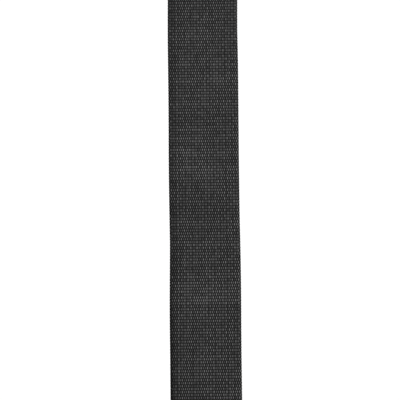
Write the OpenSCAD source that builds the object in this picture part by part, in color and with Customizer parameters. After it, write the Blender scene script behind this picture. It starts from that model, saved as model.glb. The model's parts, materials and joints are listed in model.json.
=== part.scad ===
// Guitar strap of woven webbing with sewn leather ends, a sliding length adjuster and a rectangular ring.
// It hangs straight down from its rear button hole, outer face towards -Y, at its shortest setting.
// The origin is the centre of the rear button hole. The webbing is one long piece that runs down the
// front, turns round the ring and comes back up behind to the slider, so it is drawn as several stretches.

/* [Webbing] */
// Width of the webbing
webbing_w = 50; // [40:1:50]
// Thickness of the webbing
webbing_t = 1.6; // [1.4:0.1:1.8]

/* [Lengths] */
// Distance between the two button holes at the shortest setting
shortest_l = 930; // [860:10:1000]
// Distance from the rear button hole to where the front run starts to change its length
fixed_run_l = 480; // [400:10:560]
// Distance from the mouth of the rear tab to the middle of the slider
slider_drop = 38; // [34:1:60]
// Distance from the lower bar of the ring to the mouth of the front tab
ring_loop_l = 30; // [26:1:40]

/* [Leather tabs] */
// Thickness of one layer of leather
leather_t = 2; // [1.6:0.1:2.4]
// Width of a tab over the webbing
tab_w = 54; // [53:1:56]
// Distance from the button hole to the mouth of the tab
mouth_l = 92; // [88:1:110]
// Distance from the button hole to the end of the webbing sewn inside
pocket_l = 42; // [42:1:46]
// Distance from the button hole to where the tab starts to narrow
shoulder_l = 48; // [46:1:50]
// Radius of the rounded tip
tip_r = 17; // [15:0.5:19]
// Diameter of the button hole
hole_d = 9.5; // [8:0.5:11]
// Length of the slit below the button hole
slit_l = 9; // [6:0.5:11]

/* [Stitching] */
// Width of a line of thread
thread_w = 0.8; // [0.6:0.1:1]
// Height of the thread above the surface
thread_h = 0.3; // [0.2:0.05:0.4]
// Distance from the edge of the leather to the edge stitching
edge_inset = 3.5; // [3:0.5:4]

/* [Slider] */
// Height of the slider
slider_h = 36; // [34:1:40]
// Height of each front bar
front_bar_h = 6; // [5:0.5:7]
// Thickness of the front bars
front_bar_t = 3.2; // [2.8:0.1:3.6]
// Radius of the middle bar
middle_bar_r = 1.9; // [1.7:0.1:2]

/* [Ring] */
// Radius of the ring's bars
ring_bar_r = 2.75; // [2.5:0.05:2.8]
// Distance between the middles of the upper and lower bars
ring_pitch = 25; // [24:1:30]
// Corner radius at the middle of the bar
ring_corner_r = 4.5; // [4:0.5:5]

/* [Hidden] */
$fn = 64;
running_gap = 0.3;                                   // between the webbing and what slides along it
wrap_gap = 0.2;                                      // between the slider's middle bar and the webbing on it
wrap_r = middle_bar_r + wrap_gap;                    // inside radius of the sewn wrap
middle_bar_y = webbing_t / 2 + running_gap + webbing_t + wrap_r;
return_y = middle_bar_y + wrap_r + webbing_t / 2;    // middle plane of the run that comes back up
turn_r = return_y / 2 - webbing_t / 2;               // inside radius of the turn round the ring
ring_y = return_y / 2;

mouth_z = -mouth_l;
bend_top_z = mouth_z - 1;
bend_bottom_z = mouth_z - 15;
slider_z = mouth_z - slider_drop;
front_hole_z = -shortest_l;
ring_z = front_hole_z + mouth_l + ring_loop_l + ring_pitch;
lower_bar_z = ring_z - ring_pitch;
feed_bottom_z = ring_z + 5;
lean_l = 16;                                         // length over which two plies close up below a bar
sewn_l = 58;                                         // length of the sewn end below the slider's middle bar
tail_l = 54;
step_l = 8;                                          // length over which the leather closes over the webbing
shoulder_r = 30;
corner_r = 4;
corner_steps = 6;
tip_steps = 28;
slit_w = 1.2;
slit_end_r = 1;
box_w = 38;
box_h = 34;
box_drop = 5;                                        // from the pocket's end to the box stitching
tack_h = 1.4;
deep = 60;                                           // longer than anything that it cuts

slider_inner_w = webbing_w + 2;
slider_rail_w = 4.5;
slider_w = slider_inner_w + 2 * slider_rail_w;
slider_corner_r = 5;
slider_window_r = 1.5;
cheek_r = 4.2;
cheek_h = 16;
ring_half_w = webbing_w / 2 + 4.75;

leather_colour = "#201d1b";
webbing_colour = "#333335";
thread_colour = "#161617";
plastic_colour = "#1a1a1c";

// ---- helpers ----

function unit(v) = v / norm(v);

// Points of the arc that rounds the corner p between a and b
function corner_arc(a, p, b, r) =
    let (
        u = unit(a - p),
        w = unit(b - p),
        half = acos(u * w) / 2,
        centre = p + unit(u + w) * r / sin(half),
        start = p + u * r / tan(half),
        finish = p + w * r / tan(half)
    )
    [for (i = [0 : corner_steps]) centre + r * unit(start + (finish - start) * i / corner_steps - centre)];

// Outline of a tab with its hole at the origin and its tip upwards, moved in from the edge by inset
function tab_points(inset) =
    let (
        r = tip_r - inset,
        half = tab_w / 2 - inset,
        shoulder = [half, -shoulder_l],
        mouth = -mouth_l + inset,
        tangent_a = atan2(shoulder.y, shoulder.x) + acos(r / norm(shoulder)),
        tangent = r * [cos(tangent_a), sin(tangent_a)],
        right = concat(
            corner_arc([0, mouth], [half, mouth], shoulder, max(corner_r - inset, 1)),
            corner_arc([half, mouth], shoulder, tangent, shoulder_r)
        ),
        tip = [
            for (i = [0 : tip_steps])
                let (a = tangent_a + (180 - 2 * tangent_a) * i / tip_steps)
                r * [cos(a), sin(a)]
        ],
        left = [for (i = [len(right) - 1 : -1 : 0]) [-right[i].x, right[i].y]]
    )
    concat(right, tip, left);

// A shape drawn in the [y, z] plane, carried across the strap
module across(width) {
    rotate([90, 0, 90]) translate([0, 0, -width / 2]) linear_extrude(width) children();
}

// A shape drawn in the [x, z] plane, carried from front to back
module through(y_front, y_back) {
    translate([0, y_back, 0]) rotate([90, 0, 0]) linear_extrude(y_back - y_front) children();
}

module rounded_rect(w, h, r) {
    square([w - 2 * r, h], center = true);
    square([w, h - 2 * r], center = true);
    for (x = [-1, 1], y = [-1, 1]) translate([x * (w / 2 - r), y * (h / 2 - r)]) circle(r);
}

// A straight stretch of webbing
module run(z_top, z_bottom, y_middle) {
    translate([-webbing_w / 2, y_middle - webbing_t / 2, z_bottom])
        cube([webbing_w, webbing_t, z_top - z_bottom]);
}

// Webbing folded over a bar at the origin: a roller that joins the first child, with a smaller roller
// that joins the second child taken out of it. The children are drawn in the [y, z] plane.
module folded(inner_r) {
    difference() {
        union() {
            rotate([0, 90, 0]) cylinder(r = inner_r + webbing_t, h = webbing_w, center = true);
            across(webbing_w) children(0);
        }
        rotate([0, 90, 0]) cylinder(r = inner_r, h = webbing_w + 2, center = true);
        across(webbing_w + 2) children(1);
    }
}

// Places a tab's shapes at the front end of the strap, with the tip downwards
module at_front_tab() {
    translate([0, ring_y, front_hole_z]) rotate([0, 180, 0]) children();
}

// ---- leather tabs ----

// Side view of one layer beside a core of webbing, between two depths from its inner face
module layer_profile(side, core_t, near, far) {
    step_low = -pocket_l + 1;
    step_high = step_low + step_l;
    polygon([
        [side * (core_t / 2 + near), -mouth_l - 1], [side * (core_t / 2 + near), step_low],
        [side * near, step_high], [side * near, tip_r + 1],
        [side * far, tip_r + 1], [side * far, step_high],
        [side * (core_t / 2 + far), step_low], [side * (core_t / 2 + far), -mouth_l - 1]
    ]);
}

module button_hole() {
    rotate([90, 0, 0]) cylinder(d = hole_d, h = deep, center = true);
    translate([-slit_w / 2, -deep / 2, -hole_d / 2 - slit_l]) cube([slit_w, deep, slit_l + 1]);
    translate([0, 0, -hole_d / 2 - slit_l]) rotate([90, 0, 0]) cylinder(r = slit_end_r, h = deep, center = true);
}

module leather_layer(side, core_t) {
    difference() {
        intersection() {
            across(tab_w + 2) layer_profile(side, core_t, 0, leather_t);
            through(-deep / 2, deep / 2) polygon(tab_points(0));
        }
        button_hole();
    }
}

module edge_stitching(core_t) {
    for (side = [-1, 1])
        intersection() {
            across(tab_w + 2) layer_profile(side, core_t, leather_t, leather_t + thread_h);
            through(-deep / 2, deep / 2) difference() {
                polygon(tab_points(edge_inset - thread_w / 2));
                polygon(tab_points(edge_inset + thread_w / 2));
            }
        }
}

// A sewn box with a cross in it, centred on the origin
module crossed_box(w, h) {
    diagonal = norm([w, h]) - thread_w;
    difference() {
        square([w, h], center = true);
        square([w - 2 * thread_w, h - 2 * thread_w], center = true);
    }
    for (turn = [-1, 1]) rotate(turn * atan2(h, w)) square([diagonal, thread_w], center = true);
}

module box_stitching(core_t) {
    surface = core_t / 2 + leather_t;
    for (y = [-surface - thread_h, surface])
        translate([0, 0, -pocket_l - box_drop - box_h / 2]) through(y, y + thread_h) crossed_box(box_w, box_h);
}

module rear_tab_front_leather() { color(leather_colour) leather_layer(-1, webbing_t); }
module rear_tab_back_leather() { color(leather_colour) leather_layer(1, webbing_t); }
module rear_tab_edge_stitching() { color(thread_colour) edge_stitching(webbing_t); }
module rear_tab_box_stitching() { color(thread_colour) box_stitching(webbing_t); }

module front_tab_front_leather() { color(leather_colour) at_front_tab() leather_layer(-1, 2 * webbing_t); }
module front_tab_back_leather() { color(leather_colour) at_front_tab() leather_layer(1, 2 * webbing_t); }
module front_tab_edge_stitching() { color(thread_colour) at_front_tab() edge_stitching(2 * webbing_t); }
module front_tab_box_stitching() { color(thread_colour) at_front_tab() box_stitching(2 * webbing_t); }

// ---- long webbing, from the rear tab down to the ring and back up to the slider ----

module webbing_rear_end() { color(webbing_colour) run(-pocket_l, bend_top_z, 0); }
module webbing_rear_bend() { color(webbing_colour) run(bend_top_z, bend_bottom_z, 0); }
module webbing_fixed_run() { color(webbing_colour) run(bend_bottom_z, -fixed_run_l, 0); }
module webbing_feed_run() { color(webbing_colour) run(-fixed_run_l, feed_bottom_z, 0); }
module webbing_return_run() { color(webbing_colour) run(slider_z - sewn_l, feed_bottom_z, return_y); }

module webbing_ring_turn() {
    outer_r = turn_r + webbing_t;
    leg_l = feed_bottom_z - ring_z;
    color(webbing_colour) translate([0, ring_y, ring_z]) folded(turn_r) {
        translate([-outer_r, 0]) square([2 * outer_r, leg_l]);
        translate([-turn_r, 0]) square([2 * turn_r, leg_l + 1]);
    }
}

// The webbing's end, round the slider's middle bar and sewn back to itself
module webbing_slider_loop() {
    outer_r = wrap_r + webbing_t;
    seam = wrap_r - webbing_t;
    color(webbing_colour) translate([0, middle_bar_y, slider_z]) folded(wrap_r) {
        polygon([
            [-outer_r, 0], [outer_r, 0], [outer_r, -sewn_l], [wrap_r, -sewn_l],
            [wrap_r, -tail_l], [seam, -tail_l], [seam, -lean_l]
        ]);
        polygon([[-wrap_r, 0], [wrap_r, 0], [wrap_r, -lean_l]]);
    }
}

module slider_loop_stitching() {
    back = return_y + webbing_t / 2;
    front = return_y - webbing_t * 1.5;
    box_middle_z = slider_z - (lean_l + tail_l) / 2;
    color(thread_colour)
        for (y = [back, front - thread_h])
            translate([0, 0, box_middle_z]) through(y, y + thread_h) crossed_box(box_w, tail_l - lean_l - 6);
}

// ---- slider ----

module slider_frame() {
    bar_back_y = -webbing_t / 2 - running_gap;
    color(plastic_colour) translate([0, 0, slider_z]) {
        through(bar_back_y - front_bar_t, bar_back_y) difference() {
            rounded_rect(slider_w, slider_h, slider_corner_r);
            rounded_rect(slider_inner_w, slider_h - 2 * front_bar_h, slider_window_r);
        }
        for (side = [-1, 1])
            translate([side * (slider_inner_w + slider_rail_w) / 2, 0, 0]) across(slider_rail_w) {
                translate([middle_bar_y, 0]) circle(cheek_r);
                polygon([
                    [bar_back_y - 0.5, -cheek_h / 2], [middle_bar_y, -cheek_r],
                    [middle_bar_y, cheek_r], [bar_back_y - 0.5, cheek_h / 2]
                ]);
            }
        translate([0, middle_bar_y, 0]) rotate([0, 90, 0])
            cylinder(r = middle_bar_r, h = slider_inner_w + slider_rail_w, center = true);
    }
}

// ---- ring and the loop that holds it to the front tab ----

module ring() {
    straight_x = ring_half_w - ring_corner_r;
    straight_z = ring_pitch / 2 - ring_corner_r;
    color(plastic_colour) translate([0, ring_y, (ring_z + lower_bar_z) / 2]) {
        for (z = [-1, 1])
            translate([0, 0, z * ring_pitch / 2]) rotate([0, 90, 0])
                cylinder(r = ring_bar_r, h = 2 * straight_x, center = true);
        for (x = [-1, 1])
            translate([x * ring_half_w, 0, 0]) cylinder(r = ring_bar_r, h = 2 * straight_z, center = true);
        for (turn = [0 : 3])
            translate([
                (turn == 0 || turn == 3 ? 1 : -1) * straight_x, 0,
                (turn < 2 ? 1 : -1) * straight_z
            ])
                rotate([90, 0, 0]) rotate(turn * 90)
                    rotate_extrude(angle = 90) translate([ring_corner_r, 0]) circle(ring_bar_r);
    }
}

module ring_loop_webbing() {
    outer_r = turn_r + webbing_t;
    end_l = ring_loop_l + mouth_l - pocket_l;
    color(webbing_colour) translate([0, ring_y, lower_bar_z]) folded(turn_r) {
        polygon([
            [-outer_r, 0], [outer_r, 0], [webbing_t, -lean_l], [webbing_t, -end_l],
            [-webbing_t, -end_l], [-webbing_t, -lean_l]
        ]);
        polygon([[-turn_r, 0], [turn_r, 0], [0, -lean_l]]);
    }
}

module ring_loop_stitching() {
    color(thread_colour)
        for (y = [ring_y - webbing_t - thread_h, ring_y + webbing_t], row = [0 : 2])
            translate([0, 0, lower_bar_z - lean_l - 3 - row * 2 * tack_h])
                through(y, y + thread_h) square([box_w, tack_h], center = true);
}

rear_tab_front_leather();
rear_tab_back_leather();
rear_tab_edge_stitching();
rear_tab_box_stitching();
webbing_rear_end();
webbing_rear_bend();
webbing_fixed_run();
webbing_feed_run();
webbing_ring_turn();
webbing_return_run();
slider_frame();
webbing_slider_loop();
slider_loop_stitching();
ring();
ring_loop_webbing();
ring_loop_stitching();
front_tab_front_leather();
front_tab_back_leather();
front_tab_edge_stitching();
front_tab_box_stitching();
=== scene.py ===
"""The looks of a woven guitar strap with leather ends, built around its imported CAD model.

Shapes are worked out in millimetres in the CAD model's frame and written to Blender in metres.
"""

import json
import math

import bmesh
import bpy
import numpy as np
from mathutils import Euler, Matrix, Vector, geometry


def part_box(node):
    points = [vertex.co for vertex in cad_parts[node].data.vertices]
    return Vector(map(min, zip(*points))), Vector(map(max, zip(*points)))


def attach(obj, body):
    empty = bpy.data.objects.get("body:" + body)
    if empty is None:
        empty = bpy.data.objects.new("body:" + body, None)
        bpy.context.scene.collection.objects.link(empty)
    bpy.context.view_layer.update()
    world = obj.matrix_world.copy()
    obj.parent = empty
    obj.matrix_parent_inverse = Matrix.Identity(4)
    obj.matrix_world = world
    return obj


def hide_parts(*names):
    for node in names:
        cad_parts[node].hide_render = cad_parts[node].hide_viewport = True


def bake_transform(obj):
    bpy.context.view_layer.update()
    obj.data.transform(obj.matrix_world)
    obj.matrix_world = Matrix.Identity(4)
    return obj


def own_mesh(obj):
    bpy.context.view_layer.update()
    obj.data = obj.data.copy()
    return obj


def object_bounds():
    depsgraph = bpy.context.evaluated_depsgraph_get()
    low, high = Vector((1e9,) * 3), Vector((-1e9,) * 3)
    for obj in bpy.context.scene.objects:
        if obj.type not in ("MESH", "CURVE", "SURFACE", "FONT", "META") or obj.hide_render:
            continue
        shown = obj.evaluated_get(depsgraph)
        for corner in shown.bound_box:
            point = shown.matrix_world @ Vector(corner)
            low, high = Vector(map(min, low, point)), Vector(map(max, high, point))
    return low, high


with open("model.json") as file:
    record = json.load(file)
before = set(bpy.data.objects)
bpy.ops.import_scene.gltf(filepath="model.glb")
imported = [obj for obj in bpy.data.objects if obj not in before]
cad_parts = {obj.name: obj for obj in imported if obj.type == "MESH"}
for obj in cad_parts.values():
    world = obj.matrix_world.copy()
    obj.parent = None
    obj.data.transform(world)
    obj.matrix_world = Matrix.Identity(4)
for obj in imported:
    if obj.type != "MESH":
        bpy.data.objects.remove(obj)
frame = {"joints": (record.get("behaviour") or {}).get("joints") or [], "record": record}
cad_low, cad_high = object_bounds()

MM = 0.001


# ---- sizes, read from the CAD model ----


def span(node):
    """A CAD node's lowest and highest corner, in millimetres."""
    low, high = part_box(node)
    return np.array(low) / MM, np.array(high) / MM


def top_and_bottom(node):
    """The heights of a CAD node's top and bottom, in millimetres."""
    low, high = span(node)
    return high[2], low[2]


def joint(name):
    return next(j for j in frame["joints"] if j["name"] == name)


def hinge(name):
    """A hinge's place in the [y, z] plane, in millimetres."""
    return np.array(joint(name)["pos_m"][1:]) / MM


run_low, run_high = span("webbing_fixed_run")
WIDTH = run_high[0] - run_low[0]
THICK = run_high[1] - run_low[1]
POCKET_Z = top_and_bottom("webbing_rear_end")[0]
FEED_Z = top_and_bottom("webbing_feed_run")
RETURN_TOP_Z = top_and_bottom("webbing_return_run")[0]
RETURN_Y = sum(span("webbing_return_run"))[1] / 2
LOOP_END_Z = top_and_bottom("ring_loop_webbing")[1]
TRAVEL = joint("strap_length")["range_m"][1]

RING = hinge("ring_swing")
LOWER_BAR = hinge("front_tab_swing")
TURN_R = RING[0]

loop_low, loop_high = span("webbing_slider_loop")
SLIDER_Z = sum(span("slider_frame"))[2] / 2
MIDDLE_BAR = np.array([(loop_low[1] + loop_high[1]) / 2, SLIDER_Z])
WRAP_R = (loop_high[1] - loop_low[1] - THICK) / 2
# A loop's two sides lean together over the first length below its bar. The slider's loop ends at the second.
LEAN = 16.0
TAIL = 54.0

tab_low, tab_high = span("rear_tab_back_leather")
TAB_WIDTH = tab_high[0] - tab_low[0]
TIP_R = tab_high[2]
MOUTH = -tab_low[2]
LEATHER = 2.0
# The tab reaches its full width at the shoulder, this far below the hole.
SHOULDER = 48.0
SHOULDER_R = 30.0
CORNER_R = 4.0
# The webbing ends at the pocket's end. Past a small gap the layers step together over this length.
POCKET = -POCKET_Z
STEP_GAP = 1.0
STEP = 8.0
HOLE_R = frame["record"]["mounts"][0]["dims"]["r_mm"]
SLIT_HALF = 0.6
SLIT_END = HOLE_R + 9.0
PUNCH_R = 1.0
EDGE_SEAM = 3.5
BOX = 38.0, 34.0
BOX_GAP = 5.0
BOX_Z = -(POCKET + BOX_GAP + BOX[1] / 2)
FRONT_HOLE = np.array([0, RING[0], frame["record"]["mounts"][1]["pos_m"][2] / MM])

# ---- the weave ----

YARNS = 66
REED = 3
PICK = 2.05
SELVEDGE = 0.6
YARN = (WIDTH - 2 * SELVEDGE) / YARNS
# The mesh has this many steps across each yarn, along each pick and round each selvedge.
ACROSS = 2
ALONG = 4
ROUND = 5
# The relief: half the height of a yarn's rise, the grooves beside it and between reeds as shares of that,
# how bluntly it dives under the weft, and the share of its width by which it swells over a sunk neighbour.
YARN_RISE = 0.19
YARN_GROOVE = -1.2
REED_GROOVE = 0.25
DIVE = 0.85
BEAD = 0.15
# Unevenness: the beads of the selvedges, the drift of the width, and the waviness of the whole webbing. Each
# drift is a long wave and a short one: the share, reach and shift of both.
EDGE_BEAD = 0.10
WIDTH_DRIFT = 0.36
WAVINESS = 0.10
DRIFT_WAVES = (0.65, 48.0, 1.0), (0.35, 17.0, 2.1)
LEFT_DRIFT = 0.6
RIGHT_DRIFT = 0.2
DEPTH_DRIFT = 1.3
# The gap between the strips of the unrolled map.
MAP_GAP = 2.0


# ---- meshes ----


def make_mesh(name, points, face_groups, material, smooth=True):
    """An object from points in millimetres and arrays of faces that each have one number of corners."""
    mesh = bpy.data.meshes.new(name)
    points = np.asarray(points, float).reshape(-1, 3) * MM
    corners = np.concatenate([np.asarray(g, np.int32).ravel() for g in face_groups])
    sizes = np.concatenate([np.full(len(g), np.shape(g)[1], np.int32) for g in face_groups])
    starts = np.concatenate([[0], np.cumsum(sizes)[:-1]]).astype(np.int32)
    mesh.vertices.add(len(points))
    mesh.vertices.foreach_set("co", points.astype(np.float32).ravel())
    mesh.loops.add(len(corners))
    mesh.loops.foreach_set("vertex_index", corners)
    mesh.polygons.add(len(sizes))
    mesh.polygons.foreach_set("loop_start", starts)
    mesh.update(calc_edges=True)
    mesh.polygons.foreach_set("use_smooth", np.full(len(sizes), smooth, bool))
    mesh.materials.append(material)
    piece = bpy.data.objects.new(name, mesh)
    bpy.context.scene.collection.objects.link(piece)
    return piece


def face_outwards(piece):
    """Turns every face of a closed mesh to look outwards."""
    work = bmesh.new()
    work.from_mesh(piece.data)
    bmesh.ops.recalc_face_normals(work, faces=work.faces)
    work.to_mesh(piece.data)
    work.free()


def grid_faces(rows, columns, wrap_rows=False, wrap_columns=True):
    """Quads between neighbouring points of a grid of rows by columns."""
    r = np.arange(rows if wrap_rows else rows - 1)
    c = np.arange(columns if wrap_columns else columns - 1)
    r, c = np.meshgrid(r, c, indexing="ij")
    r2, c2 = (r + 1) % rows, (c + 1) % columns
    quads = np.stack([r * columns + c, r2 * columns + c, r2 * columns + c2, r * columns + c2], -1)
    return quads.reshape(-1, 4)


# ---- routes in the [y, z] plane ----

# How finely routes are drawn, and how far ahead and behind their direction is measured.
ROUTE_GAP = 0.1
ARC_POINTS = 120
LEAN_POINTS = 200
LOOK = 0.15


def straight(a, b):
    return np.linspace(a, b, max(2, int(np.hypot(*np.subtract(b, a)) / ROUTE_GAP)))


def arc(centre, radius, start, stop):
    angles = np.radians(np.linspace(start, stop, ARC_POINTS))
    return np.array(centre) + radius * np.stack([np.cos(angles), np.sin(angles)], -1)


def lean(a, b):
    """A gentle S from a to b, level with the strap at both ends."""
    t = np.linspace(0, 1, LEAN_POINTS)
    ease = t * t * (3 - 2 * t)
    return np.stack([a[0] + (b[0] - a[0]) * ease, a[1] + (b[1] - a[1]) * t], -1)


class Route:
    """A smooth line in the [y, z] plane, followed by distance."""

    def __init__(self, *parts):
        points = np.concatenate(parts)
        steps = np.hypot(*np.diff(points, axis=0).T)
        keep = np.concatenate([[True], steps > 1e-6])
        self.points = points[keep]
        self.at = np.concatenate([[0], np.cumsum(np.hypot(*np.diff(self.points, axis=0).T))])
        self.length = self.at[-1]

    def place(self, s):
        return np.stack([np.interp(s, self.at, self.points[:, k]) for k in (0, 1)], -1)

    def outward(self, s):
        """The direction that the strap's outer face looks in."""
        ahead = self.place(np.minimum(s + LOOK, self.length))
        behind = self.place(np.maximum(s - LOOK, 0))
        along = ahead - behind
        along /= np.linalg.norm(along, axis=1)[:, None]
        return np.stack([along[:, 1], -along[:, 0]], -1)


def long_route():
    """The long webbing's middle line, from inside the rear tab to its sewn end behind the slider."""
    seam_y = RETURN_Y - THICK
    return Route(
        straight((0, POCKET_Z), (0, RING[1])),
        arc(RING, TURN_R, 180, 360),
        straight((RETURN_Y, RING[1]), (RETURN_Y, SLIDER_Z)),
        arc(MIDDLE_BAR, WRAP_R, 0, 180),
        lean((MIDDLE_BAR[0] - WRAP_R, SLIDER_Z), (seam_y, SLIDER_Z - LEAN)),
        straight((seam_y, SLIDER_Z - LEAN), (seam_y, SLIDER_Z - TAIL)),
    )


def short_route():
    """The middle line of the short webbing that joins the ring to the front tab."""
    back, front = LOWER_BAR[0] + THICK / 2, LOWER_BAR[0] - THICK / 2
    low = LOWER_BAR[1] - LEAN
    return Route(
        straight((back, LOOP_END_Z), (back, low)),
        lean((back, low), (LOWER_BAR[0] + TURN_R, LOWER_BAR[1])),
        arc(LOWER_BAR, TURN_R, 0, 180),
        lean((LOWER_BAR[0] - TURN_R, LOWER_BAR[1]), (front, low)),
        straight((front, low), (front, LOOP_END_Z)),
    )


# ---- webbing ----


def section():
    """The cross-section as a closed ring of points, and the face that each is on.

    A point is a place across and a depth from -1 to 1. Its face is 1 on the front, -1 on the back and 0 on
    the rounded selvedges.
    """
    half = WIDTH / 2 - SELVEDGE
    flat = np.linspace(-half, half, YARNS * ACROSS + 1)
    bend = np.radians(90 - 180 / ROUND * np.arange(1, ROUND))
    right = np.stack([half + SELVEDGE * np.cos(bend), np.sin(bend)], -1)
    left = -right
    front = np.stack([flat, np.ones_like(flat)], -1)
    back = np.stack([flat[::-1], -np.ones_like(flat)], -1)
    ring = np.concatenate([left[2:], front, right, back, left[:2]])
    face = np.concatenate([[0, 0], front[:, 1], np.zeros(len(right)), back[:, 1], [0, 0]])
    return ring, face


def over(column, v, face):
    """How fully a yarn lies over the weft, from 0 to 1, on the front (1) or back (-1)."""
    return np.maximum(np.cos(np.pi * (v + column)) * face, 0) ** DIVE


def relief(u, v, face):
    """How far the cloth stands from flat at yarn u and pick v, and how far the grooves there lean aside."""
    column = np.floor(u + 1e-6)
    crown = np.isclose(u - column, 0.5)
    raised = 2 * over(column, v, face) - 1
    group = REED_GROOVE * (np.cos(2 * np.pi * (u / REED - 0.5)) - 1)
    rise = YARN_RISE * (np.where(crown, raised, YARN_GROOVE) + group)
    aside = BEAD * YARN * (over(column - 1, v, face) - over(column, v, face))
    return rise, np.where(crown, 0, aside)


def wander(s, seed):
    """A slow, small drift along the strap, between -1 and 1."""
    return sum(share * np.sin(s / reach + shift * seed) for share, reach, shift in DRIFT_WAVES)


def woven(name, route, start, stop, material):
    """A stretch of webbing as one closed relief, from one distance along its route to another."""
    rows = max(2, int(round((stop - start) / (PICK / ALONG)))) + 1
    s = np.linspace(start, stop, rows)
    ring, face = section()
    columns = len(ring)
    centre, outward = route.place(s), route.outward(s)
    u = (ring[:, 0] + WIDTH / 2 - SELVEDGE) / YARN
    v = s / PICK
    flat_depth = THICK / 2 - YARN_RISE
    depth = np.broadcast_to(ring[:, 1] * flat_depth, (rows, columns)).copy()
    on_face = face != 0
    rise, aside = relief(u[None, on_face], v[:, None], face[None, on_face])
    depth[:, on_face] += rise * face[on_face]
    across = np.broadcast_to(ring[:, 0], (rows, columns)).copy()
    across[:, on_face] += aside
    edge = np.clip((np.abs(across) - WIDTH / 2 + SELVEDGE) / SELVEDGE, 0, 1)
    beads = EDGE_BEAD * np.cos(2 * np.pi * v)[:, None] * np.sign(across) * edge
    right, left = wander(s, RIGHT_DRIFT)[:, None], wander(s, LEFT_DRIFT)[:, None]
    drift = WIDTH_DRIFT * np.where(across > 0, right, left)
    across += beads + drift * np.abs(across) * 2 / WIDTH
    depth += WAVINESS * wander(s * 0.7, DEPTH_DRIFT)[:, None]
    y = centre[:, 0, None] + outward[:, 0, None] * depth
    z = centre[:, 1, None] + outward[:, 1, None] * depth
    points = np.stack([across, y, z], -1)
    k = np.arange(columns // 2 - 1)
    first_end = np.stack([k, k + 1, columns - 2 - k, columns - 1 - k], -1)
    last_end = first_end[:, ::-1] + (rows - 1) * columns
    piece = make_mesh(name, points, [grid_faces(rows, columns), first_end, last_end], material)
    weave_maps(piece, rows, columns, ring, s)
    return piece


def weave_maps(piece, rows, columns, ring, s):
    """Adds two UV maps to a stretch of webbing.

    "Weave" counts yarns across and picks along, for the material. "OFBake" unrolls the surface for baking,
    cut into strips that lie side by side in the square.
    """
    mesh = piece.data
    corner = np.empty(len(mesh.loops), np.int32)
    mesh.loops.foreach_get("vertex_index", corner)
    row, column = corner // columns, corner % columns
    yarn = (ring[:, 0] + WIDTH / 2 - SELVEDGE) / YARN
    on_back = ring[:, 1] < 0
    weave = np.stack([yarn[column], s[row] / PICK + on_back[column]], -1)
    mesh.uv_layers.new(name="Weave").data.foreach_set("uv", weave.astype(np.float32).ravel())

    side_corners = (rows - 1) * columns * 4
    quad = np.arange(side_corners) // 4
    girth = np.concatenate([[0], np.cumsum(np.hypot(*np.diff(ring * [1, THICK / 2], axis=0).T))])
    around = girth[column]
    closes_ring = (quad % columns == columns - 1) & (column[:side_corners] == 0)
    around[:side_corners][closes_ring] = girth[-1] + SELVEDGE
    length = s[-1] - s[0]
    band = girth[-1] + MAP_GAP
    strips = max(1, int(round(math.sqrt(length / band))))
    rows_each = math.ceil((rows - 1) / strips)
    strip = np.zeros(len(corner), int)
    strip[:side_corners] = quad // columns // rows_each
    along = (row - strip * rows_each) * length / (rows - 1)
    map_side = max(strips * band, length / strips + 2 * MAP_GAP)
    unrolled = np.stack([strip * band + around + MAP_GAP / 4, along + MAP_GAP / 2], -1) / map_side
    unrolled[side_corners:] = MAP_GAP / 4 / map_side
    mesh.uv_layers.new(name="OFBake").data.foreach_set("uv", unrolled.astype(np.float32).ravel())
    mesh.uv_layers["Weave"].active = True
    mesh.uv_layers["Weave"].active_render = True


# ---- outlines in a tab's own [x, z] plane, hole at the origin and tip upwards ----

# How finely outlines are drawn: the spacing of the tab's and the hole's points, and the counts along arcs.
OUTLINE_GAP = 1.0
HOLE_GAP = 0.7
CORNER_STEPS = 6
ROUND_POINTS = 49
PUNCH_POINTS = 17
SMALLEST_CORNER = 1.0


def unit(v):
    return v / np.linalg.norm(v)


def rounded_corner(a, p, b, radius):
    """Points round the corner at p, from its side towards a to its side towards b."""
    a, p, b = np.array(a, float), np.array(p, float), np.array(b, float)
    u, w = unit(a - p), unit(b - p)
    half = math.acos(u @ w) / 2
    centre = p + unit(u + w) * radius / math.sin(half)
    start, finish = p + u * radius / math.tan(half), p + w * radius / math.tan(half)
    shares = [i / CORNER_STEPS for i in range(CORNER_STEPS + 1)]
    return [centre + radius * unit(start + (finish - start) * share - centre) for share in shares]


def tab_outline(inset):
    """The tab's outline moved in by inset, as a closed line of even points."""
    r, half = TIP_R - inset, TAB_WIDTH / 2 - inset
    shoulder, mouth = np.array([half, -SHOULDER]), -MOUTH + inset
    tangent = math.atan2(shoulder[1], shoulder[0]) + math.acos(r / np.linalg.norm(shoulder))
    touch = r * np.array([math.cos(tangent), math.sin(tangent)])
    right = rounded_corner((0, mouth), (half, mouth), shoulder, max(CORNER_R - inset, SMALLEST_CORNER))
    right += rounded_corner((half, mouth), shoulder, touch, SHOULDER_R)
    right = np.array(right)
    angles = np.linspace(tangent, math.pi - tangent, ROUND_POINTS)
    tip = r * np.stack([np.cos(angles), np.sin(angles)], -1)
    return even(np.concatenate([right, tip, right[::-1] * [-1, 1]]), OUTLINE_GAP, closed=True)


def hole_outline(offset):
    """The button hole with its slit and end punch, moved out by offset."""
    r, half, punch = HOLE_R + offset, SLIT_HALF + offset, PUNCH_R + offset
    a = math.asin(half / r)
    b = math.asin(min(half / punch, 1))
    around = np.linspace(-math.pi / 2 + a, 1.5 * math.pi - a, ROUND_POINTS)
    hole = r * np.stack([np.cos(around), np.sin(around)], -1)
    below = np.linspace(math.pi / 2 + b, 2.5 * math.pi - b, PUNCH_POINTS)
    end = np.array([0, -SLIT_END]) + punch * np.stack([np.cos(below), np.sin(below)], -1)
    return even(np.concatenate([hole, end]), HOLE_GAP, closed=True)


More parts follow.
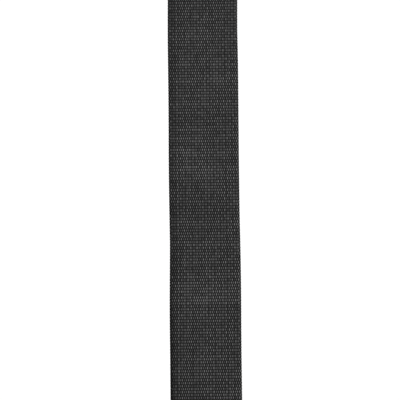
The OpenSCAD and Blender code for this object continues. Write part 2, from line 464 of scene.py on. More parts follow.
def even(points, gap, closed=False):
    """The same line with points about gap apart. A closed line doesn't repeat its first point."""
    line = np.concatenate([points, points[:1]]) if closed else np.asarray(points, float)
    at = np.concatenate([[0], np.cumsum(np.hypot(*np.diff(line, axis=0).T))])
    count = max(2, int(round(at[-1] / gap)))
    s = np.linspace(0, at[-1], count + 1)
    s = s[:-1] if closed else s
    return np.stack([np.interp(s, at, line[:, k]) for k in (0, 1)], -1)


def crossed_box(width, height, middle):
    """The seam lines of a crossed box: its four sides and two diagonals."""
    w, h = width / 2, height / 2
    corners = [np.array([x, z + middle]) for x, z in ((-w, -h), (w, -h), (w, h), (-w, h))]
    sides = [(corners[i], corners[(i + 1) % 4]) for i in range(4)]
    return [np.array(pair) for pair in (*sides, (corners[0], corners[2]), (corners[1], corners[3]))]


def box_lines():
    return crossed_box(*BOX, BOX_Z)


def edge_line():
    edge = tab_outline(EDGE_SEAM)
    return np.concatenate([edge, edge[:1]])


def distance(points, line):
    """How far each point is from a line of points."""
    best = np.full(len(points), np.inf)
    for a, b in zip(line[:-1], line[1:]):
        ab = b - a
        t = np.clip((points - a) @ ab / max(ab @ ab, 1e-12), 0, 1)
        best = np.minimum(best, np.hypot(*(points - a - t[:, None] * ab).T))
    return best


def inside(points, outline):
    """Whether each point is inside a closed outline."""
    odd = np.zeros(len(points), bool)
    for a, b in zip(outline, np.roll(outline, -1, axis=0)):
        crosses = (a[1] > points[:, 1]) != (b[1] > points[:, 1])
        with np.errstate(divide="ignore", invalid="ignore"):
            x = a[0] + (points[:, 1] - a[1]) * (b[0] - a[0]) / (b[1] - a[1])
        odd ^= crosses & (points[:, 0] < x)
    return odd


# ---- leather ----

# The stitching pulls the surface into a narrow groove in a wide hollow: depth and half width of each.
SEAM_GROOVE = 0.20, 0.5
SEAM_HOLLOW = 0.16, 2.4
# Radius of the cut edges and of the hole's rim, and how far in from either the wear reaches.
EDGE_R = 0.6
RIM_R = 0.45
WEAR = 1.3
# Distances of the rows of mesh points from the outer edge, the hole's rim, the edge seam and the box seam.
EDGE_ROWS = 0, 0.12, 0.35, 0.7, 1.3, 2.1
RIM_ROWS = 0, 0.12, 0.45, 1.0
SEAM_ROWS = -0.7, -0.35, 0, 0.35, 0.7, 1.5
BOX_ROWS = -0.8, -0.4, 0, 0.4, 0.8
# Spacing of the points along the box seam and in the filling, and how near they come to other points.
BOX_ROW_GAP = 1.1
BOX_CLEAR = 0.3
FILL_GAP = 1.6
FILL_CLEAR = 0.75
EDGE_CLEAR = 0.3
EQUAL_SIDED = 0.866


def bell(x):
    return np.exp(-(x**2))


def seam_dip(points):
    """How far the leather is pulled in by the stitching."""
    near = np.min([distance(points, line) for line in (edge_line(), *box_lines())], axis=0)
    return sum(depth * bell(near / half_width) for depth, half_width in (SEAM_GROOVE, SEAM_HOLLOW))


def core_depth(z, core):
    """Half the thickness of the webbing between the layers, closing to nothing past its end."""
    t = np.clip((z + POCKET - STEP_GAP) / STEP, 0, 1)
    return core / 2 * (1 - t * t * (3 - 2 * t))


def rounding(offset, radius):
    """How far a rounded edge has dropped at a distance in from the edge."""
    return radius - math.sqrt(max(radius**2 - max(radius - offset, 0) ** 2, 0))


def wear(offset):
    return max(0.0, 1 - offset / WEAR)


def clear_of(fixed, points, gap):
    """Those of the points that are further than gap from every fixed one."""
    return points[np.array([np.hypot(*(fixed - p).T).min() > gap for p in points])]


def box_rows(line):
    """Rows of points along one line of the box seam and beside it."""
    spaced = even(line, BOX_ROW_GAP)
    side = unit(line[1] - line[0])[::-1] * [1, -1]
    return np.concatenate([spaced + side * d for d in BOX_ROWS])


def filling(fixed):
    """Points in staggered rows all over the tab, clear of the fixed ones."""
    across = np.arange(-TAB_WIDTH / 2, TAB_WIDTH / 2, FILL_GAP)
    x, z = np.meshgrid(across, np.arange(-MOUTH, TIP_R, FILL_GAP * EQUAL_SIDED))
    x = x + FILL_GAP / 2 * (np.arange(len(x)) % 2)[:, None]
    loose = np.stack([x.ravel(), z.ravel()], -1)
    in_outline = inside(loose, tab_outline(EDGE_ROWS[-1] + EDGE_CLEAR))
    in_hole = inside(loose, hole_outline(RIM_ROWS[-1] + EDGE_CLEAR))
    return clear_of(fixed, loose[in_outline & ~in_hole], FILL_CLEAR)


def leather_sheet():
    """One leather layer laid flat.

    Gives its points and triangles, how far the surface drops at each point to round the edges, how worn it
    is there, and the numbers of the points along the outer edge and round the hole.
    """
    rings = [(tab_outline(d), rounding(d, EDGE_R), wear(d)) for d in EDGE_ROWS]
    rings += [(tab_outline(EDGE_SEAM + d), 0.0, 0.0) for d in SEAM_ROWS]
    rims = [(hole_outline(d), rounding(d, RIM_R), wear(d)) for d in RIM_ROWS]
    points = np.concatenate([line for line, _, _ in rings + rims])
    drops = np.concatenate([np.full(len(line), drop) for line, drop, _ in rings + rims])
    wears = np.concatenate([np.full(len(line), worn) for line, _, worn in rings + rims])
    for line in box_lines():
        points = np.concatenate([points, clear_of(points, box_rows(line), BOX_CLEAR)])
    points = np.concatenate([points, filling(points)])
    flat_points = len(points) - len(drops)
    drops, wears = np.pad(drops, (0, flat_points)), np.pad(wears, (0, flat_points))
    outer = np.arange(len(rings[0][0]))
    hole = sum(len(line) for line, _, _ in rings) + np.arange(len(rims[0][0]))
    edges = [(int(i), int(j)) for loop in (outer, hole) for i, j in zip(loop, np.roll(loop, -1))]
    made = geometry.delaunay_2d_cdt([Vector(p) for p in points], edges, [], 0, 1e-6)
    triangles = np.array([t for t in made[2] if len(t) == 3])
    centres = points[triangles].mean(axis=1)
    keep = inside(centres, tab_outline(0)) & ~inside(centres, hole_outline(0))
    return points, triangles[keep], drops, wears, outer, hole


def leather_layer(name, sheet, side, core, place, material):
    """One layer of leather, pressed over the end of the webbing and pulled in at its seams."""
    flat, triangles, drops, wears, outer, hole = sheet
    inner_y = core_depth(flat[:, 1], core)
    top_y = inner_y + LEATHER - drops - seam_dip(flat)
    bottom_y = inner_y + drops / 2
    count = len(flat)
    top = np.stack([flat[:, 0], side * top_y, flat[:, 1]], -1)
    bottom = np.stack([flat[:, 0], side * bottom_y, flat[:, 1]], -1)
    walls = []
    for loop in (outer, hole):
        after = np.roll(loop, -1)
        walls.append(np.stack([loop, after, after + count, loop + count], -1))
    faces = [triangles, triangles[:, ::-1] + count, np.concatenate(walls)]
    piece = make_mesh(name, place(np.concatenate([top, bottom])), faces, material)
    face_outwards(piece)
    worn = np.concatenate([wears, drops > 0])
    edge = piece.data.attributes.new("edge", "FLOAT", "POINT")
    edge.data.foreach_set("value", worn.astype(np.float32))
    return piece


def at_rear(points):
    return points


def at_front(points):
    """Turns a tab's points upside down and moves them to the front end of the strap."""
    return points * [-1, 1, -1] + FRONT_HOLE


# ---- stitching ----

THREAD_R = 0.36
STITCH = 3.1
STITCH_GAP = 0.5
TACK_THREAD_R = 0.27
TACK_STITCH = 1.8
# How far below its surface a stitch is placed: on leather, on webbing and in a bar tack.
LEATHER_SINK = 0.30
WEBBING_SINK = 0.10
TACK_SINK = 0.12
# The slope under a stitch is measured this share of its step to either side of its middle.
SLOPE_REACH = 0.35
STITCH_RINGS = 11
STITCH_SIDES = 12
# A stitch thins by this share towards its ends. Its middle is dropped this far, and its ends this much more.
STITCH_TAPER = 0.45
MIDDLE_DROP = 0.08
END_DROP = 0.55
PLIES = 3
PLY_RELIEF = 0.10
PLY_TWIST = 2.2


def stitch_shape(length, radius):
    """One stitch along +X, arched out of the surface towards +Z, with the lay of its plies."""
    t = np.linspace(-1, 1, STITCH_RINGS)
    a = np.linspace(0, 2 * np.pi, STITCH_SIDES, endpoint=False)
    tt, aa = np.meshgrid(t, a, indexing="ij")
    plies = 1 + PLY_RELIEF * np.cos(PLIES * aa - tt * length * PLY_TWIST)
    r = radius * plies * (1 - STITCH_TAPER * np.abs(tt) ** 5)
    lift = -MIDDLE_DROP - END_DROP * np.abs(tt) ** 4
    shape = np.stack([tt * length / 2, r * np.cos(aa), lift + r * np.sin(aa)], -1)
    around = np.arange(STITCH_SIDES)
    ends = np.array([around, (around + (STITCH_RINGS - 1) * STITCH_SIDES)[::-1]])
    return shape.reshape(-1, 3), grid_faces(STITCH_RINGS, STITCH_SIDES)[:, ::-1], ends


def stitches(name, places, length, radius, material):
    """All the stitches of a seam: each place is a point, the direction of the thread and the way out."""
    shape, quads, ends = stitch_shape(length, radius)
    middle, along, out = (np.array([p[k] for p in places], float) for k in range(3))
    along /= np.linalg.norm(along, axis=1)[:, None]
    out -= (out * along).sum(1)[:, None] * along
    out /= np.linalg.norm(out, axis=1)[:, None]
    aside = np.cross(out, along)
    points = (
        middle[:, None]
        + shape[None, :, 0, None] * along[:, None]
        + shape[None, :, 1, None] * aside[:, None]
        + shape[None, :, 2, None] * out[:, None]
    )
    start = (np.arange(len(places)) * len(shape))[:, None, None]
    groups = [(quads[None] + start).reshape(-1, 4), (ends[None] + start).reshape(-1, STITCH_SIDES)]
    piece = make_mesh(name, points, groups, material)
    return piece


def along_line(line):
    """The middles and directions of the stitches that fit a line."""
    ends = even(line, STITCH + STITCH_GAP)
    return (ends[1:] + ends[:-1]) / 2, np.diff(ends, axis=0)


def tab_stitches(name, lines, core, place, material):
    """The stitches of some seams of a tab, on both faces, sloping where the leather does."""
    places = []
    for side in (-1, 1):
        out = np.array([0.0, side, 0.0])
        for line in lines:
            middles, directions = along_line(line)
            near, far = middles - directions * SLOPE_REACH, middles + directions * SLOPE_REACH
            depths = [core_depth(p[:, 1], core) + LEATHER - LEATHER_SINK for p in (near, middles, far)]
            near_y, middle_y, far_y = depths
            slopes = (far_y - near_y) / (2 * SLOPE_REACH)
            for m, d, y, slope in zip(middles, directions, middle_y, slopes):
                places.append((np.array([m[0], side * y, m[1]]), np.array([d[0], side * slope, d[1]]), out))
    turned = [(place(p), place(p + a) - place(p), place(p + o) - place(p)) for p, a, o in places]
    return stitches(name, turned, STITCH, THREAD_R, material)


# ---- moulded plastic ----


def rounded_box(w, h, r, steps=8):
    """The closed outline of a rounded rectangle about the origin, with this many points to a corner."""
    points = []
    for k, (sx, sz) in enumerate(((1, 1), (-1, 1), (-1, -1), (1, -1))):
        angles = np.linspace(k * np.pi / 2, (k + 1) * np.pi / 2, steps)
        centre = np.array([sx * (w / 2 - r), sz * (h / 2 - r)])
        points.append(centre + r * np.stack([np.cos(angles), np.sin(angles)], -1))
    return np.concatenate(points)


def moulded(name, parts, voxel, material):
    """Melts overlapping closed shapes into one moulding with small fillets all over."""
    piece = make_mesh(name, parts[0][0], parts[0][1], material)
    others = [make_mesh(f"{name}_{i}", p, f, material) for i, (p, f) in enumerate(parts[1:])]
    for o in (piece, *others):
        face_outwards(o)
    joined = bmesh.new()
    for o in (piece, *others):
        joined.from_mesh(o.data)
    joined.to_mesh(piece.data)
    joined.free()
    for o in others:
        bpy.data.objects.remove(o)
    melt = piece.modifiers.new("melt", "REMESH")
    melt.mode = "VOXEL"
    melt.voxel_size = voxel * MM
    smooth = piece.modifiers.new("smooth", "SMOOTH")
    smooth.factor = 0.5
    smooth.iterations = 7
    flatten_modifiers(piece)
    piece.data.polygons.foreach_set("use_smooth", np.ones(len(piece.data.polygons), bool))
    return piece


def flatten_modifiers(piece):
    """Applies a piece's modifiers to its mesh."""
    graph = bpy.context.evaluated_depsgraph_get()
    finished = bpy.data.meshes.new_from_object(piece.evaluated_get(graph))
    piece.modifiers.clear()
    piece.data = finished


def prism(outline, low, high):
    """A closed prism over an outline in the [y, z] plane, from one place across to another."""
    n = len(outline)
    ends = [np.insert(outline, 0, x, axis=1) for x in (low, high)]
    k = np.arange(n)
    walls = np.stack([k, (k + 1) % n, (k + 1) % n + n, k + n], -1)
    return np.concatenate(ends), [walls, np.array([k[::-1]]), np.array([k + n])]


def frame_ring(outer, inner, front, back):
    """A flat frame between two outlines in the [x, z] plane that have the same number of points."""
    n = len(outer)
    points = [np.insert(outline, 1, y, axis=1) for outline in (outer, inner) for y in (front, back)]
    k = np.arange(n)
    after = (k + 1) % n
    neighbours = [(0, 1), (1, 3), (3, 2), (2, 0)]
    faces = [np.stack([a * n + k, a * n + after, b * n + after, b * n + k], -1) for a, b in neighbours]
    return np.concatenate(points), faces


# The slider's front: widths of its side rails and its bars, its thickness, and its outer and inner corners.
RAIL = 4.5
FRONT_BAR = 6.0
FRONT_THICK = 3.2
SLIDER_CORNER = 5.0, 1.5
# The cheeks that hold the middle bar: half their height, and how deep they are rooted in the front.
CHEEK_HALF = 8.0
CHEEK_ROOT = 1.2
CHEEK_POINTS = 24
# The ribbed middle bar, and how far short of the slider's sides it ends.
RIBBED_BAR_R = 1.9
RIBS = 8
RIB_RELIEF = 0.12
RIBBED_BAR_INSET = 1.0
RIBBED_BAR_POINTS = 48
SLIDER_VOXEL = 0.28

# The ring's bar is a share flatter than it is wide. Its parting line, whose width is in radians, stands up
# from a slightly slimmer bar.
RING_CORNER = 4.5
RING_GAP = 0.6
RING_SIDES = 36
RING_CORNER_POINTS = 24
SLIMMER = 0.05
FLATTENED = 0.03
PARTING_RISE = 0.07
PARTING_WIDTH = 0.12


def slider(material):
    """The moulded slider: two front bars, side rails, cheeks and the ribbed bar that holds the sewn end."""
    low, high = span("slider_frame")
    width, height = high[0] - low[0], high[2] - low[2]
    back = low[1] + FRONT_THICK
    outer = rounded_box(width, height, SLIDER_CORNER[0])
    inner = rounded_box(width - 2 * RAIL, height - 2 * FRONT_BAR, SLIDER_CORNER[1])
    parts = [frame_ring(outer, inner, low[1], back)]
    cheek_r = high[1] - MIDDLE_BAR[0]
    angles = np.linspace(-np.pi / 2, np.pi / 2, CHEEK_POINTS)
    nose = np.stack([MIDDLE_BAR[0] + cheek_r * np.cos(angles), cheek_r * np.sin(angles)], -1)
    root = back - CHEEK_ROOT
    cheek = np.concatenate([[[root, -CHEEK_HALF]], nose, [[root, CHEEK_HALF]]])
    for sign in (-1, 1):
        near, far = sign * (width / 2 - RAIL), sign * width / 2
        parts.append(prism(cheek, min(near, far), max(near, far)))
    around = np.linspace(0, 2 * np.pi, RIBBED_BAR_POINTS, endpoint=False)
    ribbed = RIBBED_BAR_R + RIB_RELIEF * np.cos(RIBS * around)
    bar_outline = np.stack([MIDDLE_BAR[0] + ribbed * np.cos(around), ribbed * np.sin(around)], -1)
    bar_half = width / 2 - RIBBED_BAR_INSET
    parts.append(prism(bar_outline, -bar_half, bar_half))
    placed = [(points + [0, 0, SLIDER_Z], faces) for points, faces in parts]
    return moulded("moulded_slider", placed, SLIDER_VOXEL, material)


def ring(material):
    """The moulded ring: a slightly flattened bar swept round a rounded rectangle, with its parting line."""
    low, high = span("ring")
    bar_r = (high[1] - low[1]) / 2
    width, height = high[0] - low[0] - 2 * bar_r, high[2] - low[2] - 2 * bar_r
    line = even(rounded_box(width, height, RING_CORNER, RING_CORNER_POINTS), RING_GAP, closed=True)
    ahead, behind = np.roll(line, -1, axis=0), np.roll(line, 1, axis=0)
    along = ahead - behind
    along /= np.linalg.norm(along, axis=1)[:, None]
    out = np.stack([along[:, 1], -along[:, 0]], -1)
    a = np.linspace(0, 2 * np.pi, RING_SIDES, endpoint=False)
    parting = PARTING_RISE * bell(np.sin(a) / PARTING_WIDTH)
    r = (bar_r - SLIMMER) * (1 - FLATTENED * np.sin(a) ** 2) + parting
    flat = line[:, None] + out[:, None] * (r * np.cos(a))[None, :, None]
    y = np.broadcast_to(r * np.sin(a), flat.shape[:2])
    middle = (low + high) / 2
    points = np.stack([flat[..., 0], y + middle[1], flat[..., 1] + middle[2]], -1)
    piece = make_mesh("moulded_ring", points, [grid_faces(len(line), len(a), wrap_rows=True)], material)
    face_outwards(piece)
    return piece


# ---- materials ----


class Nodes:
    """Builds a material's node tree, with a Principled shader as .shader."""

    def __init__(self, name):
        self.material = bpy.data.materials.new(name)
        self.material.use_nodes = True
        self.tree = self.material.node_tree
        self.shader = self.tree.nodes["Principled BSDF"]

    def new(self, kind, **settings):
        made = self.tree.nodes.new(kind)
        for key, value in settings.items():
            setattr(made, key, value)
        return made

    def feed(self, socket, value):
        if isinstance(value, bpy.types.NodeSocket):
            self.tree.links.new(value, socket)
        else:
            socket.default_value = value

    def math(self, operation, *values, clamp=False):
        made = self.new("ShaderNodeMath", operation=operation, use_clamp=clamp)
        for socket, value in zip(made.inputs, values):
            self.feed(socket, value)
        return made.outputs[0]

    def mix(self, factor, a, b):
        made = self.new("ShaderNodeMix", data_type="RGBA")
        self.feed(made.inputs["Factor"], factor)
        self.feed(made.inputs[6], a)
        self.feed(made.inputs[7], b)
        return made.outputs[2]

    def between(self, share, low, high):
        """A value that goes from low to high as the share goes from 0 to 1."""
        return self.math("MULTIPLY_ADD", share, high - low, low)

    def noise(self, vector, scale, detail=2.0, output="Fac"):
        made = self.new("ShaderNodeTexNoise")
        self.feed(made.inputs["Vector"], vector)
        made.inputs["Scale"].default_value = scale
        made.inputs["Detail"].default_value = detail
        return made.outputs[output]

    def flat_vector(self, x, y):
        made = self.new("ShaderNodeCombineXYZ")
        self.feed(made.inputs["X"], x)
        self.feed(made.inputs["Y"], y)
        return made.outputs[0]

    def object_place(self):
        return self.new("ShaderNodeTexCoord").outputs["Object"]

    def bump(self, height, strength, distance):
        made = self.new("ShaderNodeBump")
        self.feed(made.inputs["Height"], height)
        made.inputs["Strength"].default_value = strength
        made.inputs["Distance"].default_value = distance
        self.tree.links.new(made.outputs["Normal"], self.shader.inputs["Normal"])


def grey(value, warm=0.0):
    return (value * (1 + warm), value, value * (1 - warm), 1.0)


# The looks of a yarn, which shape its bump and the painted shade and highlight in its colour: how pointed
# its floats are lengthways and across, and its painted shade where it is sunk.
FLOAT_POINT = 1.15
CROWN_POINT = 0.8
SUNK_SHADE = 0.04
# How much the tone varies by chance from float to float, from yarn to yarn and from pick to pick.
FLOAT_CHANCE = 0.7
YARN_CHANCE = 0.35
PICK_CHANCE = 0.3
# A reed's group of yarns, with painted shade towards the grooves between groups: its mean tone and how much
# it swings.
GROUP_TONE = 0.86
GROUP_SWING = 0.46
# The filaments' noise, in cells across a yarn and along a pick.
FILAMENTS = 12.0, 0.8
# Painted shade towards the sides: the yarns over which each side darkens, and its tone at the selvedge.
LEFT_SHADE = 16
LEFT_TONE = 0.35
RIGHT_SHADE = 5
RIGHT_TONE = 0.88
# Painted shade along the outer yarns of the left selvedge, as if they turned away from the light, coming and
# going over a long wave, down to this tone.
SHADE_LINE_YARNS = 2.2
SHADE_LINE_WAVE = 130.0
SHADE_LINE_SHIFT = -2.2
SHADE_LINE_TONE = 0.1


def yarn_relief_and_shade(n, u, v):
    """How fully a raised yarn shows at yarn u and pick v, from 0 in the grooves to 1 along its crown. It is
    the bump's height and, in the colour, painted shade in the grooves and under the weft, with a painted
    highlight along each crown.
    """
    column, within = n.math("FLOOR", u), n.math("FRACT", u)
    crimp = n.math("COSINE", n.math("MULTIPLY", n.math("ADD", v, column), math.pi))
    over_weft = n.math("POWER", n.math("MAXIMUM", crimp, 0.0), FLOAT_POINT)
    crown = n.math("POWER", n.math("SINE", n.math("MULTIPLY", within, math.pi)), CROWN_POINT)
    return n.math("MULTIPLY", crown, n.between(over_weft, SUNK_SHADE, 1.0))


def reed_group_shade(n, u):
    """The tone of each reed's group of yarns, brightest at its middle, as painted shade towards the grooves
    between groups.
    """
    group = n.math("COSINE", n.math("MULTIPLY", n.math("SUBTRACT", u, REED / 2), 2 * math.pi / REED))
    return n.math("MULTIPLY_ADD", group, GROUP_SWING, GROUP_TONE)


def uneven(n, tone, u, v):
    """The tone varied by chance from float to float, yarn to yarn and pick to pick."""
    column, pick = n.math("FLOOR", u), n.math("FLOOR", n.math("ADD", v, 0.5))
    cells = (
        (n.flat_vector(column, pick), FLOAT_CHANCE),
        (n.flat_vector(column, 0.5), YARN_CHANCE),
        (n.flat_vector(0.5, pick), PICK_CHANCE),
    )
    for cell, amount in cells:
        chance = n.new("ShaderNodeTexWhiteNoise", noise_dimensions="2D")
        n.feed(chance.inputs["Vector"], cell)
        varied = n.between(chance.outputs["Value"], 1 - amount / 2, 1 + amount / 2)
        tone = n.math("MULTIPLY", tone, varied)
    return tone


def painted_edge_shade(n, tone, u, v):
    """The tone with painted shade towards both sides, and a painted line of shade where the left selvedge
    would turn away from the light.
    """
    from_left = n.math("POWER", n.math("MULTIPLY", u, 1 / LEFT_SHADE, clamp=True), 0.4)
    from_right = n.math("MULTIPLY", n.math("SUBTRACT", YARNS, u), 1 / RIGHT_SHADE, clamp=True)
    tone = n.math("MULTIPLY", tone, n.between(from_left, LEFT_TONE, 1.0))
    tone = n.math("MULTIPLY", tone, n.between(from_right, RIGHT_TONE, 1.0))
    # turned is a painted line of shade along the left selvedge.
    turned = n.math("SINE", n.math("MULTIPLY_ADD", v, PICK / SHADE_LINE_WAVE, SHADE_LINE_SHIFT))
    turned = n.math("MULTIPLY", turned, n.math("SUBTRACT", SHADE_LINE_YARNS, u, clamp=True), clamp=True)
    return n.math("MULTIPLY", tone, n.between(turned, 1.0, SHADE_LINE_TONE))


def webbing_material():
    """Black polypropylene webbing: raised yarns that dive under the weft, in threes, with fine filaments.
    Its colour holds painted shade in the grooves, under the weft and towards the sides, and a painted
    highlight along each crown.
    """
    n = Nodes("black_webbing")
    place = n.new("ShaderNodeSeparateXYZ")
    n.feed(place.inputs[0], n.new("ShaderNodeUVMap", uv_map="Weave").outputs[0])
    u, v = place.outputs[0], place.outputs[1]
    # shown is the bump's height and also the painted shade and highlight of the weave.
    shown = yarn_relief_and_shade(n, u, v)
    fine = [n.math("MULTIPLY", count, cells) for count, cells in zip((u, v), FILAMENTS)]
    filaments = n.noise(n.flat_vector(*fine), scale=1.0)
    # Painted shade towards the grooves between reed groups.
    tone = uneven(n, n.math("MULTIPLY", shown, reed_group_shade(n, u)), u, v)
    tone = n.math("MULTIPLY", tone, n.between(filaments, 0.2, 1.8))
    # Painted shade towards both sides and along the left selvedge.
    tone = painted_edge_shade(n, tone, u, v)
    cloudy = n.noise(n.object_place(), scale=14.0, detail=3.0)
    pale = n.mix(cloudy, grey(0.0265), grey(0.0665))
    # Painted shade: near black in the grooves and where a yarn dives under the weft, pale along the crowns.
    n.feed(n.shader.inputs["Base Color"], n.mix(tone, grey(0.0008), pale))
    n.feed(n.shader.inputs["Roughness"], n.between(filaments, 0.40, 0.60))
    n.shader.inputs["Specular IOR Level"].default_value = 0.02
    n.shader.inputs["Sheen Weight"].default_value = 0.005
    n.shader.inputs["Sheen Roughness"].default_value = 0.5
    n.bump(n.math("MULTIPLY_ADD", filaments, 0.5, shown), strength=0.7, distance=0.00012)
    return n.material


def leather_grain(n, where):
    """The pebbles of the leather: flat tops of 1 that fall to 0 in the creases between them."""
    shift = n.new("ShaderNodeVectorMath", operation="SCALE")
    n.feed(shift.inputs[0], n.noise(where, scale=900.0, output="Color"))
    shift.inputs["Scale"].default_value = 0.0006
    warped = n.new("ShaderNodeVectorMath", operation="ADD")
    n.feed(warped.inputs[0], where)
    n.feed(warped.inputs[1], shift.outputs[0])
    cells = n.new("ShaderNodeTexVoronoi", feature="DISTANCE_TO_EDGE")
    n.feed(cells.inputs["Vector"], warped.outputs[0])
    cells.inputs["Scale"].default_value = 850.0
    return n.math("SMOOTH_MIN", n.math("MULTIPLY", cells.outputs["Distance"], 3.2), 1.0, 0.35)


def leather_material():
    """Black grained leather with a burnished, slightly browner edge."""
    n = Nodes("black_leather")
    where = n.object_place()
    pebble = leather_grain(n, where)
    pores = n.noise(where, scale=5200.0)
    broad = n.noise(where, scale=60.0, detail=3.0)
    edge = n.new("ShaderNodeAttribute", attribute_name="edge").outputs["Fac"]
    face = n.mix(pebble, grey(0.001), n.mix(broad, grey(0.003, warm=0.05), grey(0.009, warm=0.06)))
    n.feed(n.shader.inputs["Base Color"], n.mix(edge, face, grey(0.009, warm=0.25)))
    rough = n.between(broad, 0.38, 0.56)
    n.feed(n.shader.inputs["Roughness"], n.math("MULTIPLY_ADD", edge, 0.12, rough))
    n.shader.inputs["Specular IOR Level"].default_value = 0.16
    height = n.math("MULTIPLY_ADD", pores, 0.25, pebble)
    n.bump(n.math("MULTIPLY", height, n.between(edge, 1.0, 0.2)), strength=0.55, distance=0.0002)
    return n.material


def thread_material():
    """Black bonded polyester thread."""
    n = Nodes("black_thread")
    where = n.object_place()
    fuzz = n.noise(where, scale=6000.0)
    n.feed(n.shader.inputs["Base Color"], n.mix(fuzz, grey(0.006), grey(0.020)))
    n.feed(n.shader.inputs["Roughness"], n.between(fuzz, 0.36, 0.56))
    n.shader.inputs["Specular IOR Level"].default_value = 0.35
    n.shader.inputs["Sheen Weight"].default_value = 0.05
    n.bump(fuzz, strength=0.4, distance=0.00008)
    return n.material


def plastic_material():
    """Satin black acetal with a fine moulded texture, rubbed a little smoother in patches."""
    n = Nodes("black_plastic")
    where = n.object_place()
    texture = n.noise(where, scale=3600.0)
    rubbed = n.noise(where, scale=120.0, detail=3.0)
    n.feed(n.shader.inputs["Base Color"], n.mix(rubbed, grey(0.004), grey(0.007)))
    n.feed(n.shader.inputs["Roughness"], n.between(rubbed, 0.24, 0.46))
    n.shader.inputs["Specular IOR Level"].default_value = 0.3
    n.bump(texture, strength=0.25, distance=0.00006)
    return n.material


# ---- scene ----

# The camera looks at a point on the plain run of webbing, from a distance, with a pitch and roll in degrees.
VIEW_X = -3.1
VIEW_Z = -330.0
VIEW_DISTANCE = 786.0
VIEW_PITCH = 5.2
VIEW_ROLL = -0.5
LENS = 100.0
SENSOR = 36.0
# The pale floor is this far below the strap at its longest, and reaches this far each way.
FLOOR_GAP = 60.0
FLOOR_HALF = 20000.0


def camera():
    """A long lens that looks slightly upwards at the plain run of webbing."""
    data = bpy.data.cameras.new("camera")
    data.lens = LENS
    data.sensor_width = SENSOR
    data.clip_start, data.clip_end = 0.05, 100.0
    made = bpy.data.objects.new("camera", data)
    bpy.context.scene.collection.objects.link(made)
    pitch = math.radians(VIEW_PITCH)
    target = Vector((VIEW_X, run_low[1], VIEW_Z)) * MM
    made.location = target + VIEW_DISTANCE * MM * Vector((0, -math.cos(pitch), -math.sin(pitch)))
    made.rotation_euler = Euler((math.radians(90) + pitch, 0, 0), "XYZ")
    made.rotation_euler.rotate_axis("Z", math.radians(VIEW_ROLL))
    bpy.context.scene.camera = made


def area_light(name, place, target, size, power):
    """A round soft light: places and size in metres, power in watts."""
    data = bpy.data.lights.new(name, "AREA")
    data.shape = "DISK"
    data.size = size
    data.energy = power
    made = bpy.data.objects.new(name, data)
    bpy.context.scene.collection.objects.link(made)
    made.location = place
    made.rotation_euler = (Vector(target) - Vector(place)).to_track_quat("-Z", "Y").to_euler()


def studio():
    """Pale floor, white surroundings, and soft lights from the front right, the front left and behind."""
    world = bpy.data.worlds.new("studio")
    bpy.context.scene.world = world
    world.use_nodes = True
    world.node_tree.nodes["Background"].inputs["Color"].default_value = (1, 1, 1, 1)
    world.node_tree.nodes["Background"].inputs["Strength"].default_value = 1.08
    middle = (0, 0, -0.45)
    area_light("key", (1.1, -1.8, 1.3), middle, size=0.8, power=200)
    area_light("fill", (-2.0, -1.8, 0.1), middle, size=1.4, power=25)
    area_light("back", (-0.9, 2.2, 1.0), middle, size=1.0, power=110)
    finish = Nodes("pale_floor")
    grain = finish.noise(finish.object_place(), scale=3.0)
    finish.feed(finish.shader.inputs["Base Color"], finish.mix(grain, grey(0.93), grey(0.95)))
    finish.shader.inputs["Roughness"].default_value = 0.8
    corners = FLOOR_HALF * np.array([(-1, -1, 0), (1, -1, 0), (1, 1, 0), (-1, 1, 0)])
    floor = make_mesh("floor", corners, [np.array([[0, 1, 2, 3]])], finish.material, smooth=False)
    floor.location.z = cad_low[2] - TRAVEL - FLOOR_GAP * MM
    bpy.context.scene.view_settings.view_transform = "Standard"


# ---- assembly ----

# The return run stops this far short of the slider's loop.
RETURN_GAP = 0.03
TACK_HEIGHT = 1.4
TACK_ROWS = 3
TACK_PITCH = 0.56
TACK_TILT = 0.3


def build_webbing(cloth):
    """The long webbing in five stretches and the short loop, each following its own bodies."""
    route = long_route()
    # The distances along the route at which the webbing passes from one stretch to the next.
    turn_start = POCKET_Z - FEED_Z[1]
    turn_stop = turn_start + 2 * (FEED_Z[1] - RING[1]) + math.pi * TURN_R
    return_stop = turn_stop + RETURN_TOP_Z - FEED_Z[1]
    cuts = [0, POCKET_Z - FEED_Z[0], turn_start, turn_stop, return_stop, route.length]
    names = ["woven_upper_run", "woven_feed_run", "woven_ring_turn", "woven_return_run", "woven_slider_loop"]
    starts, stops = cuts[:-1], cuts[1:]
    stops[names.index("woven_return_run")] -= RETURN_GAP
    upper, feed, turn, back, loop = (woven(*job, cloth) for job in zip(names, [route] * 5, starts, stops))
    short = short_route()
    ring_loop = woven("woven_ring_loop", short, 0, short.length, cloth)
    lengths = dict(zip(names, np.diff(cuts)), woven_ring_loop=short.length)

    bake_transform(upper)
    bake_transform(feed)
    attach(turn, "ring_turn")
    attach(back, "ring_turn")
    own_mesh(back)
    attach(loop, "slider")
    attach(ring_loop, "front_tab")

    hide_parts("webbing_rear_end", "webbing_rear_bend", "webbing_fixed_run")
    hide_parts("webbing_feed_run")
    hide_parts("webbing_ring_turn")
    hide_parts("webbing_return_run")
    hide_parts("webbing_slider_loop")
    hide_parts("ring_loop_webbing")


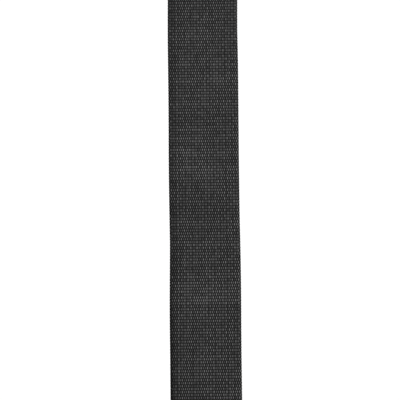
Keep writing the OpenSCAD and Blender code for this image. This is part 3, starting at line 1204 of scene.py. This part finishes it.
def build_tabs(hide, thread):
    """Both leather ends: two layers and two seams each."""
    sheet = leather_sheet()
    ends = (("rear", "rear_tab", THICK, at_rear), ("front", "front_tab", 2 * THICK, at_front))
    for end, body, core, place in ends:
        for side, face in ((-1, "front"), (1, "back")):
            layer = leather_layer(f"{end}_leather_{face}", sheet, side, core, place, hide)
            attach(layer, body)
            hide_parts(f"{end}_tab_{face}_leather")
        for seam, lines in (("edge", [edge_line()]), ("box", box_lines())):
            rows = tab_stitches(f"{end}_{seam}_stitches", lines, core, place, thread)
            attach(rows, body)
            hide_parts(f"{end}_tab_{seam}_stitching")


def build_slider_seam(thread):
    """The crossed box that closes the webbing round the slider's middle bar, on both faces."""
    low, high = span("slider_loop_stitching")
    lines = crossed_box(high[0] - low[0], high[2] - low[2], (low[2] + high[2]) / 2)
    places = []
    # The front of the sewn end and the back of the loop behind it.
    for side, y in ((-1, RETURN_Y - 1.5 * THICK), (1, RETURN_Y + THICK / 2)):
        out = np.array([0.0, side, 0.0])
        for line in lines:
            for m, d in zip(*along_line(line)):
                point = np.array([m[0], y - side * WEBBING_SINK, m[1]])
                places.append((point, np.array([d[0], 0, d[1]]), out))
    seam = stitches("slider_loop_stitches", places, STITCH, THREAD_R, thread)
    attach(seam, "slider")
    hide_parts("slider_loop_stitching")


def build_bar_tacks(thread):
    """Rows of close upright stitches across the short loop, on both faces, tilted to and fro."""
    low, high = span("ring_loop_stitching")
    places = []
    for side in (-1, 1):
        y = LOWER_BAR[0] + side * (THICK - TACK_SINK)
        out = np.array([0.0, side, 0.0])
        for row in range(TACK_ROWS):
            z = high[2] - TACK_HEIGHT / 2 - row * 2 * TACK_HEIGHT
            for i, x in enumerate(np.arange(low[0], high[0], TACK_PITCH)):
                tilt = TACK_TILT if i % 2 else -TACK_TILT
                places.append((np.array([x, y, z]), np.array([tilt, 0, 1.0]), out))
    tacks = stitches("ring_loop_stitches", places, TACK_STITCH, TACK_THREAD_R, thread)
    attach(tacks, "front_tab")
    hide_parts("ring_loop_stitching")


def build_hardware(plastic):
    made = slider(plastic)
    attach(made, "slider")
    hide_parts("slider_frame")
    made = ring(plastic)
    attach(made, "ring")
    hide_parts("ring")


camera()
studio()
thread = thread_material()
build_hardware(plastic_material())
build_tabs(leather_material(), thread)
build_webbing(webbing_material())
build_slider_seam(thread)
build_bar_tacks(thread)
